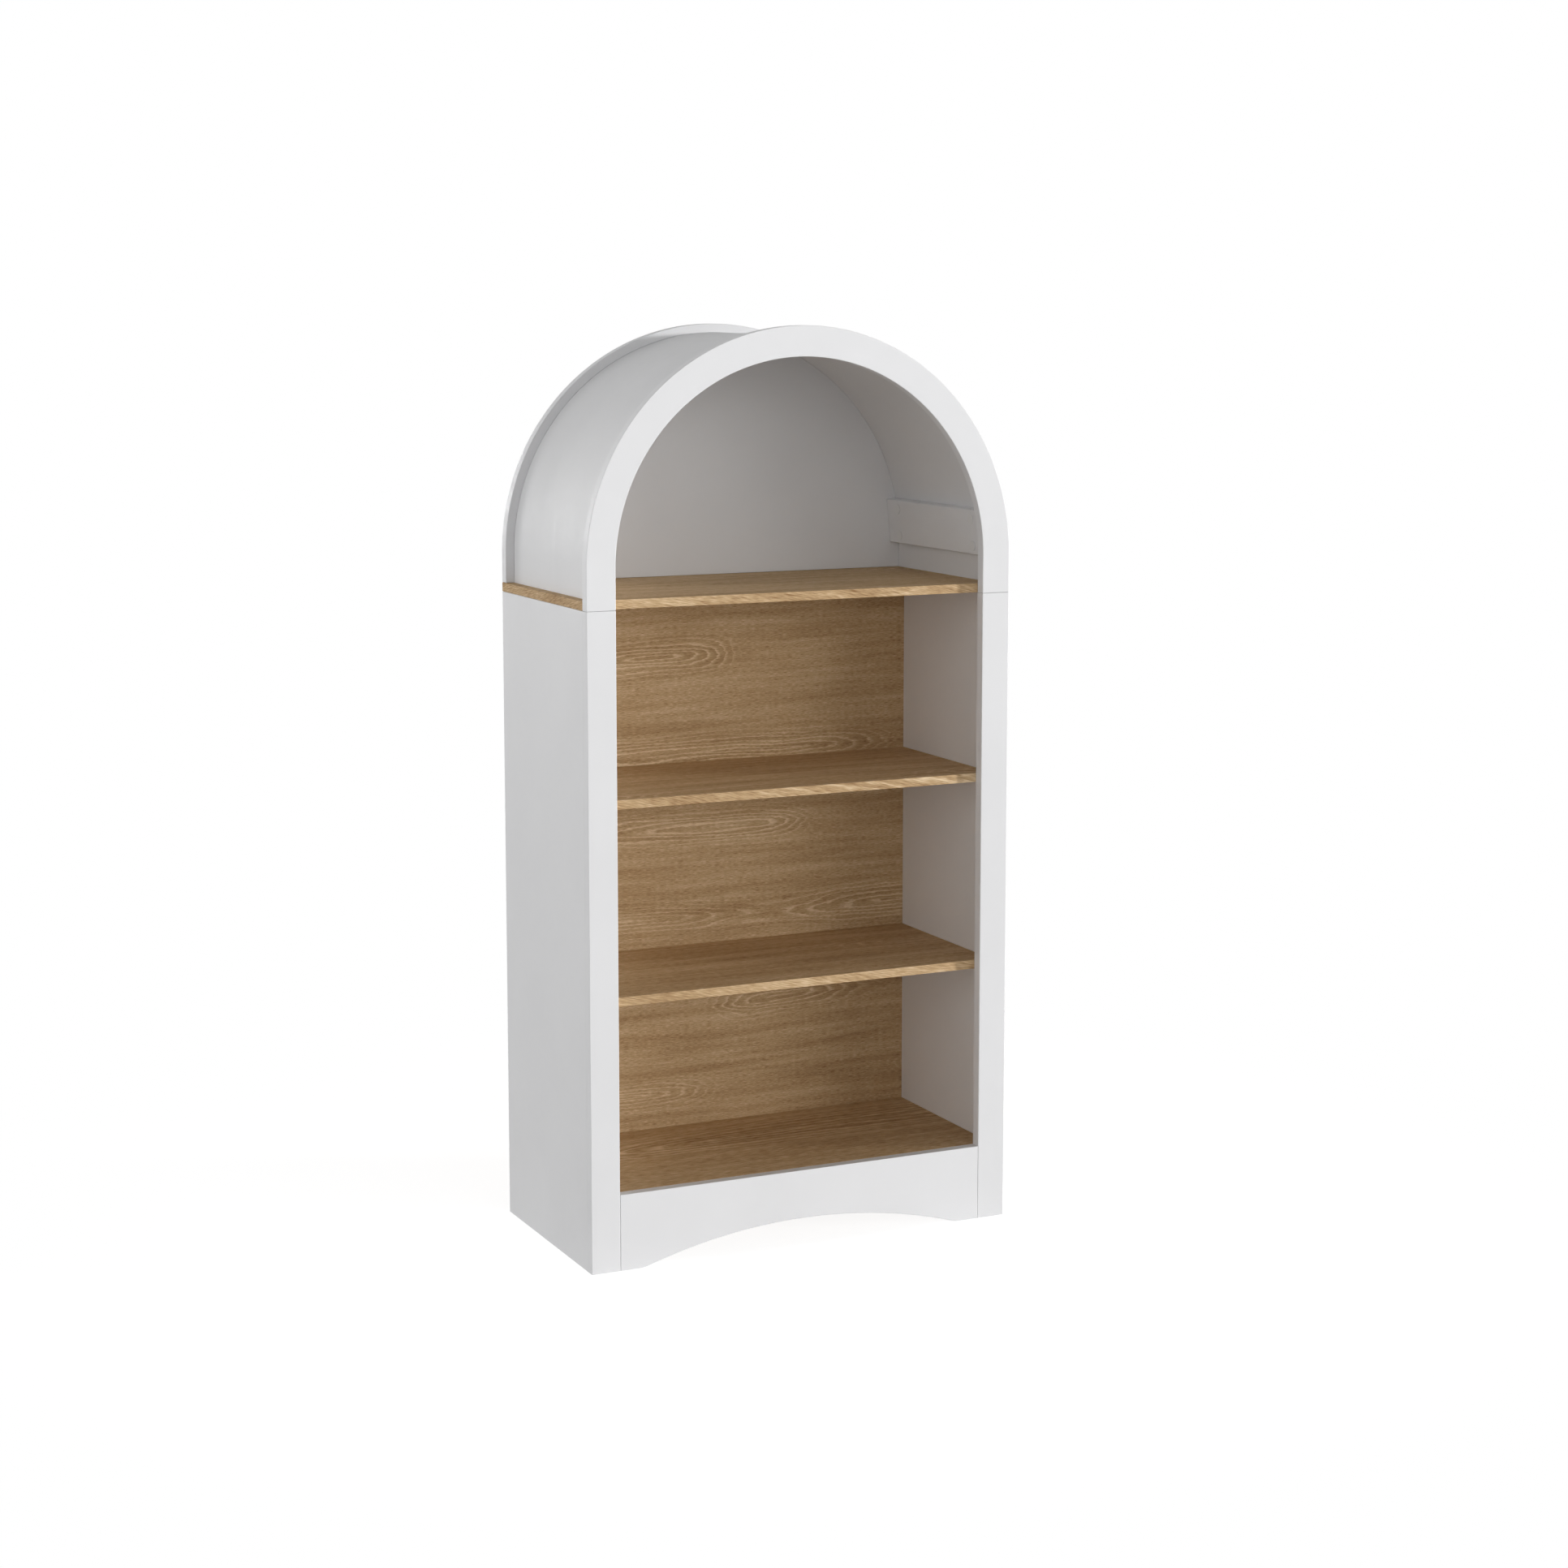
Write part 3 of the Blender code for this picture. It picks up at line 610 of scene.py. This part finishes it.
# Back panel: one thin sheet faced with the same oak, its grain lying across the case.
# It slides down the grooves in the sides before the deck goes on.
BACK_CUT_FROM = (0.31, 0.735)
BACK_COARSENESS = 1.0
back = oak_board("oak_back", "back_panel", BACK_CUT_FROM, BACK_COARSENESS)
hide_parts("back_panel")
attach(back, "root")


# Arch ring: a half-round fibreboard arch with short legs that stand on the stiles.
# It is sawn in one piece and lacquered white, and a groove behind takes the bent sheet.
ARCH_STEPS = 144
WELD = 0.000001
SHEET_THICK = 0.003
BOLT_THREAD = 0.0025


def calculate_whole(tree, operation, first, second):
    return add_node(tree, "FunctionNodeIntegerMath", {0: first, 1: second}, operation=operation).outputs[0]


def same(tree, first, second):
    values = {2: first, 3: second}
    return add_node(tree, "FunctionNodeCompare", values, data_type="INT", operation="EQUAL").outputs[0]


def arch_tree():
    """Sweeps a board's or a sheet's section along a half circle that stands on two straight legs."""
    tree = bpy.data.node_groups.new("arch_sweep", "GeometryNodeTree")
    tree.interface.new_socket("Geometry", in_out="INPUT", socket_type="NodeSocketGeometry")
    for name in ("Radius", "Leg", "Width", "Depth", "Spring Height", "Middle Depth"):
        tree.interface.new_socket(name, in_out="INPUT", socket_type="NodeSocketFloat")
    tree.interface.new_socket("Steps", in_out="INPUT", socket_type="NodeSocketInt")
    tree.interface.new_socket("Finish", in_out="INPUT", socket_type="NodeSocketMaterial")
    tree.interface.new_socket("Geometry", in_out="OUTPUT", socket_type="NodeSocketGeometry")
    given = add_node(tree, "NodeGroupInput").outputs
    half_circle = add_node(
        tree,
        "GeometryNodeCurveArc",
        {
            "Resolution": calculate_whole(tree, "ADD", given["Steps"], 1),
            "Radius": given["Radius"],
            "Start Angle": 0.0,
            "Sweep Angle": math.pi,
        },
        mode="RADIUS",
    )
    line = add_node(tree, "GeometryNodeCurveToMesh", {"Curve": half_circle.outputs["Curve"]})
    index = add_node(tree, "GeometryNodeInputIndex").outputs[0]
    first = same(tree, index, 0)
    last = same(tree, index, given["Steps"])
    feet = add_node(tree, "FunctionNodeBooleanMath", {0: first, 1: last}, operation="OR")
    below = calculate(tree, "MULTIPLY", given["Leg"], -1.0)
    drop = add_node(tree, "ShaderNodeCombineXYZ", {"Y": below})
    legs = add_node(
        tree,
        "GeometryNodeExtrudeMesh",
        {"Mesh": line.outputs["Mesh"], "Selection": feet.outputs[0], "Offset": drop.outputs[0]},
        mode="VERTICES",
    )
    path = add_node(tree, "GeometryNodeMeshToCurve", {"Mesh": legs.outputs["Mesh"]})
    section = add_node(
        tree,
        "GeometryNodeCurvePrimitiveQuadrilateral",
        {"Width": given["Width"], "Height": given["Depth"]},
        mode="RECTANGLE",
    )
    swept = add_node(
        tree,
        "GeometryNodeCurveToMesh",
        {
            "Curve": path.outputs["Curve"],
            "Profile Curve": section.outputs["Curve"],
            "Fill Caps": True,
        },
    )
    middle = add_node(
        tree, "ShaderNodeCombineXYZ", {"Y": given["Middle Depth"], "Z": given["Spring Height"]}
    )
    stood_up = add_node(
        tree,
        "GeometryNodeTransform",
        {
            "Geometry": swept.outputs["Mesh"],
            "Translation": middle.outputs[0],
            "Rotation": (math.pi / 2, 0.0, 0.0),
        },
    )
    real = add_node(tree, "GeometryNodeRealizeInstances", {"Geometry": stood_up.outputs["Geometry"]})
    finished = add_node(
        tree,
        "GeometryNodeSetMaterial",
        {"Geometry": real.outputs["Geometry"], "Material": given["Finish"]},
    )
    add_node(tree, "NodeGroupOutput", {"Geometry": finished.outputs["Geometry"]})
    return tree


def run_tree(name, tree, mesh, inputs):
    """The plain mesh that a Geometry Nodes tree makes with these inputs."""
    maker = bpy.data.objects.new(name, mesh)
    scene.collection.objects.link(maker)
    modifier = maker.modifiers.new(name, "NODES")
    modifier.node_group = tree
    for item in tree.interface.items_tree:
        if item.in_out == "INPUT" and item.name in inputs:
            modifier[item.identifier] = inputs[item.name]
    graph = bpy.context.evaluated_depsgraph_get()
    graph.update()
    made = bpy.data.meshes.new_from_object(maker.evaluated_get(graph))
    bpy.data.objects.remove(maker, do_unlink=True)
    return made


ARCH_SWEEP = arch_tree()
SPRING_HEIGHT = cad_high.z - cad_high.x


def arch_band(name, inner, outer, foot, front, back):
    """A bmesh of an arched band between two radii and two depths, standing on a level."""
    inputs = {
        "Radius": (inner + outer) / 2,
        "Leg": SPRING_HEIGHT - foot,
        "Width": outer - inner,
        "Depth": back - front,
        "Spring Height": SPRING_HEIGHT,
        "Middle Depth": (front + back) / 2,
        "Steps": ARCH_STEPS,
        "Finish": white_lacquer,
    }
    band = bmesh.new()
    band.from_mesh(run_tree(name, ARCH_SWEEP, bpy.data.meshes.new(name), inputs))
    bmesh.ops.remove_doubles(band, verts=band.verts, dist=WELD)
    bmesh.ops.recalc_face_normals(band, faces=band.faces)
    return band


sheet_low, sheet_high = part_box("roof_sheet")


def sheet_groove(name):
    """The bent sheet, a little larger, as the groove that it sits in."""
    return arch_band(
        name,
        sheet_high.x - SHEET_THICK - SLACK,
        sheet_high.x + SLACK,
        sheet_low.z - SLACK,
        sheet_low.y - SLACK,
        sheet_high.y + SLACK,
    )


ring_low, ring_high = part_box("front_arch_ring")
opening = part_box("right_front_stile")[0].x
ring_shape = arch_band("ring", opening, ring_high.x, ring_low.z, ring_low.y, ring_high.y)
ease_edges(ring_shape, LACQUER_ROUND)
ring_joints = sheet_groove("ring_groove")
for hand in ("left", "right"):
    bore(ring_joints, f"ring_dowel_{hand}")
    for level in ("lower", "upper"):
        bore(ring_joints, f"cam_bolt_{hand}_front_{level}", BOLT_THREAD)
ring = add_piece("arch_ring", mesh_of("arch_ring", ring_shape), white_lacquer, ring_joints)
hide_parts("front_arch_ring")
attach(ring, "root")


# Arch back: one closed half-round fibreboard behind the arch, lacquered white on all sides.
# It stands on the deck on two dowels, and holds the rear edge of the bent sheet in a groove.
board_low, board_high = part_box("arch_back_board")
board_outline = [(board_high.x, board_low.z)]
board_outline += arc((0.0, SPRING_HEIGHT), board_high.x, 0.0, math.pi, ARCH_STEPS)
board_outline += [(board_low.x, board_low.z)]
board_shape = plate_shape(board_outline, board_low.y, board_high.y)
ease_edges(board_shape, LACQUER_ROUND)
board_joints = sheet_groove("board_groove")
for hand in ("left", "right"):
    bore(board_joints, f"back_board_dowel_{hand}")
    for level in ("lower", "upper"):
        bore(board_joints, f"cam_bolt_{hand}_rear_{level}", BOLT_THREAD)
board = add_piece("arch_back", mesh_of("arch_back", board_shape), white_lacquer, board_joints)
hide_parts("arch_back_board")
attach(board, "root")

# The flagged lamp is kept off this board alone.
in_shade = bpy.data.collections.new("in_shade")
in_shade.objects.link(board)
in_shade.collection_objects[0].light_linking.link_state = "EXCLUDE"
scene.objects["flagged"].light_linking.receiver_collection = in_shade


# Roof: a thin hardboard sheet bent over the arch, sprayed white before it is bent.
# Its two long edges sit in the grooves of the ring and the back, and its feet on the deck.
SHEET_PALE = (0.80, 0.80, 0.807)
SHEET_DEEP = (0.77, 0.77, 0.777)
SHEET_PEEL = 1400.0
SHEET_ROUGHNESS = 0.5
white_sheet = sprayed_white("white_sheet", SHEET_PALE, SHEET_DEEP, SHEET_PEEL, SHEET_ROUGHNESS)
roof_shape = arch_band(
    "roof", sheet_high.x - SHEET_THICK, sheet_high.x, sheet_low.z, sheet_low.y, sheet_high.y
)
roof = add_piece("bent_roof", mesh_of("bent_roof", roof_shape), white_sheet)
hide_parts("roof_sheet")
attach(roof, "root")


# Rails: lacquered battens inside the arch that pull the ring and the back together.
# They keep their CAD shape, with the pockets and bolt ways of the cam fittings in them.
for hand in ("left", "right"):
    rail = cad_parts[f"{hand}_arch_rail"]
    rail.data.materials.clear()
    rail.data.materials.append(white_lacquer)


# Cover caps: low round caps of white plastic pressed over the cams, with a softly rounded rim.
# There are four on the face of each rail, near its ends, and each faces the middle of the arch.
CAP_RADIUS = 0.009
CAP_HEIGHT = 0.001
CAP_SIDES = 48
CAP_WALL = 0.5
CAP_RIM = ((0.25, 0.985), (0.17, 0.965), (0.08, 0.95))
CAP_FROM_EDGE = 0.015
CAP_FROM_END = 0.040
RAIL_LEAN = math.radians(5.5)
RAIL_THICK = 0.018
RAIL_HEIGHT = 0.076
PLASTIC_DEEP = (0.78, 0.78, 0.775)
PLASTIC_PALE = (0.81, 0.81, 0.805)
PLASTIC_ROUGHNESS = (0.36, 0.46)
MOULDING_SCALE = 1200.0
MOULDING_DEPTH = 0.00003
MOULDING_STRENGTH = 0.3


def cap_tree():
    """Puts a cap on each point, turned to face along the point's own direction."""
    tree = bpy.data.node_groups.new("cover_caps", "GeometryNodeTree")
    tree.interface.new_socket("Geometry", in_out="INPUT", socket_type="NodeSocketGeometry")
    for name in ("Radius", "Height"):
        tree.interface.new_socket(name, in_out="INPUT", socket_type="NodeSocketFloat")
    tree.interface.new_socket("Sides", in_out="INPUT", socket_type="NodeSocketInt")
    tree.interface.new_socket("Finish", in_out="INPUT", socket_type="NodeSocketMaterial")
    tree.interface.new_socket("Geometry", in_out="OUTPUT", socket_type="NodeSocketGeometry")
    given = add_node(tree, "NodeGroupInput").outputs
    wall = calculate(tree, "MULTIPLY", given["Height"], CAP_WALL)
    disc = add_node(
        tree,
        "GeometryNodeMeshCylinder",
        {"Vertices": given["Sides"], "Side Segments": 1, "Radius": given["Radius"], "Depth": wall},
        fill_type="NGON",
    )
    cap, top = disc.outputs["Mesh"], disc.outputs["Top"]
    for rise, shrink in CAP_RIM:
        step = add_node(
            tree,
            "GeometryNodeExtrudeMesh",
            {
                "Mesh": cap,
                "Selection": top,
                "Offset Scale": calculate(tree, "MULTIPLY", given["Height"], rise),
            },
            mode="FACES",
        )
        drawn_in = add_node(
            tree,
            "GeometryNodeScaleElements",
            {"Geometry": step.outputs["Mesh"], "Selection": step.outputs["Top"], "Scale": shrink},
            domain="FACE",
        )
        cap, top = drawn_in.outputs["Geometry"], step.outputs["Top"]
    lift = add_node(tree, "ShaderNodeCombineXYZ", {"Z": calculate(tree, "MULTIPLY", wall, 0.5)})
    seated = add_node(tree, "GeometryNodeTransform", {"Geometry": cap, "Translation": lift.outputs[0]})
    facing = add_node(tree, "GeometryNodeInputNamedAttribute", {"Name": "facing"}, data_type="FLOAT_VECTOR")
    turned = add_node(
        tree, "FunctionNodeAlignRotationToVector", {"Vector": facing.outputs["Attribute"]}, axis="Z"
    )
    placed = add_node(
        tree,
        "GeometryNodeInstanceOnPoints",
        {
            "Points": given["Geometry"],
            "Instance": seated.outputs["Geometry"],
            "Rotation": turned.outputs["Rotation"],
        },
    )
    real = add_node(tree, "GeometryNodeRealizeInstances", {"Geometry": placed.outputs["Instances"]})
    finished = add_node(
        tree,
        "GeometryNodeSetMaterial",
        {"Geometry": real.outputs["Geometry"], "Material": given["Finish"]},
    )
    add_node(tree, "NodeGroupOutput", {"Geometry": finished.outputs["Geometry"]})
    return tree


cap_plastic, plastic, plastic_shader = new_finish("cap_plastic")
plastic_place = add_node(plastic, "ShaderNodeTexCoord").outputs["Object"]
moulding = noise(plastic, plastic_place, MOULDING_SCALE, detail=2.0)
plastic_tone = shades(plastic, moulding, (NOISE_LOW, PLASTIC_DEEP), (NOISE_HIGH, PLASTIC_PALE))
plastic.links.new(plastic_tone, plastic_shader.inputs["Base Color"])
plastic.links.new(spread(plastic, moulding, *PLASTIC_ROUGHNESS), plastic_shader.inputs["Roughness"])
raise_surface(plastic, plastic_shader, moulding, MOULDING_DEPTH, MOULDING_STRENGTH)

rail_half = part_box("right_arch_rail")[1].y
rail_outer = math.sqrt((sheet_high.x - SHEET_THICK - SLACK) ** 2 - (RAIL_HEIGHT / 2) ** 2)
rail_face = rail_outer - RAIL_THICK
cap_places = []
cap_facings = []
for sign in (-1, 1):
    for along in (-1, 1):
        for level in (-1, 1):
            out = rail_face - SLACK
            up = level * (RAIL_HEIGHT / 2 - CAP_FROM_EDGE)
            x = out * math.cos(RAIL_LEAN) - up * math.sin(RAIL_LEAN)
            z = out * math.sin(RAIL_LEAN) + up * math.cos(RAIL_LEAN)
            cap_places.append((sign * x, along * (rail_half - CAP_FROM_END), SPRING_HEIGHT + z))
            cap_facings.append((-sign * math.cos(RAIL_LEAN), 0.0, -math.sin(RAIL_LEAN)))
cap_points = bpy.data.meshes.new("cap_points")
cap_points.from_pydata(cap_places, [], [])
facing_layer = cap_points.attributes.new("facing", "FLOAT_VECTOR", "POINT")
facing_layer.data.foreach_set("vector", [number for facing in cap_facings for number in facing])
cap_inputs = {"Radius": CAP_RADIUS, "Height": CAP_HEIGHT - SLACK, "Sides": CAP_SIDES, "Finish": cap_plastic}
caps = add_piece("cover_caps", run_tree("cover_caps", cap_tree(), cap_points, cap_inputs), cap_plastic)
CORNERS = [
    f"{hand}_{end}_{level}"
    for hand in ("left", "right")
    for end in ("front", "rear")
    for level in ("lower", "upper")
]
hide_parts(*[f"cam_cap_{corner}" for corner in CORNERS])
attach(caps, "root")


# Cams and cam bolts: die-cast zinc drums in the rails, and turned, plated steel bolts.
# They are out of sight behind the caps, and keep their CAD shapes.
ZINC_DEEP = (0.46, 0.47, 0.49)
ZINC_PALE = (0.60, 0.61, 0.63)
ZINC_ROUGHNESS = (0.35, 0.55)
CASTING_SCALE = 900.0
CASTING_DEPTH = 0.00005
CASTING_STRENGTH = 0.4
zinc, zinc_tree, zinc_shader = new_finish("zinc")
zinc_place = add_node(zinc_tree, "ShaderNodeTexCoord").outputs["Object"]
casting = noise(zinc_tree, zinc_place, CASTING_SCALE, detail=4.0)
zinc_tone = shades(zinc_tree, casting, (NOISE_LOW, ZINC_DEEP), (NOISE_HIGH, ZINC_PALE))
zinc_tree.links.new(zinc_tone, zinc_shader.inputs["Base Color"])
zinc_tree.links.new(spread(zinc_tree, casting, *ZINC_ROUGHNESS), zinc_shader.inputs["Roughness"])
zinc_shader.inputs["Metallic"].default_value = 1.0
raise_surface(zinc_tree, zinc_shader, casting, CASTING_DEPTH, CASTING_STRENGTH)

STEEL_DEEP = (0.54, 0.53, 0.50)
STEEL_PALE = (0.70, 0.69, 0.66)
STEEL_ROUGHNESS = (0.22, 0.36)
TURNING_SCALE = (300.0, 4000.0)
TURNING_DEPTH = 0.00002
TURNING_STRENGTH = 0.3
plated_steel, steel, steel_shader = new_finish("plated_steel")
steel_place = add_node(steel, "ShaderNodeTexCoord").outputs["Object"]
turning = noise(steel, stretched(steel, steel_place, *TURNING_SCALE), 1.0, detail=1.0)
steel_tone = shades(steel, turning, (NOISE_LOW, STEEL_DEEP), (NOISE_HIGH, STEEL_PALE))
steel.links.new(steel_tone, steel_shader.inputs["Base Color"])
steel.links.new(spread(steel, turning, *STEEL_ROUGHNESS), steel_shader.inputs["Roughness"])
steel_shader.inputs["Metallic"].default_value = 1.0
raise_surface(steel, steel_shader, turning, TURNING_DEPTH, TURNING_STRENGTH)

for corner in CORNERS:
    for fitting, metal in ((f"cam_{corner}", zinc), (f"cam_bolt_{corner}", plated_steel)):
        fitting_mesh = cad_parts[fitting].data
        fitting_mesh.materials.clear()
        fitting_mesh.materials.append(metal)


# Dowels: beech pins glued into blind bores, with their ends chamfered for driving.
# They hold the shelves, the deck, the ring and the arch back, and are hidden once it is built.
BEECH_DEEP = (0.52, 0.34, 0.19)
BEECH_PALE = (0.70, 0.51, 0.32)
BEECH_ROUGHNESS = (0.58, 0.70)
FLECK_SCALE = 650.0
FLECK_DEPTH = 0.00006
FLECK_STRENGTH = 0.4
beech, beech_tree, beech_shader = new_finish("beech")
beech_place = add_node(beech_tree, "ShaderNodeTexCoord").outputs["Object"]
ray_fleck = noise(beech_tree, beech_place, FLECK_SCALE, detail=3.0)
beech_tone = shades(beech_tree, ray_fleck, (NOISE_LOW, BEECH_DEEP), (NOISE_HIGH, BEECH_PALE))
beech_tree.links.new(beech_tone, beech_shader.inputs["Base Color"])
beech_tree.links.new(spread(beech_tree, ray_fleck, *BEECH_ROUGHNESS), beech_shader.inputs["Roughness"])
raise_surface(beech_tree, beech_shader, ray_fleck, FLECK_DEPTH, FLECK_STRENGTH)
for node_name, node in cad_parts.items():
    if "_dowel_" in node_name:
        node.data.materials.clear()
        node.data.materials.append(beech)
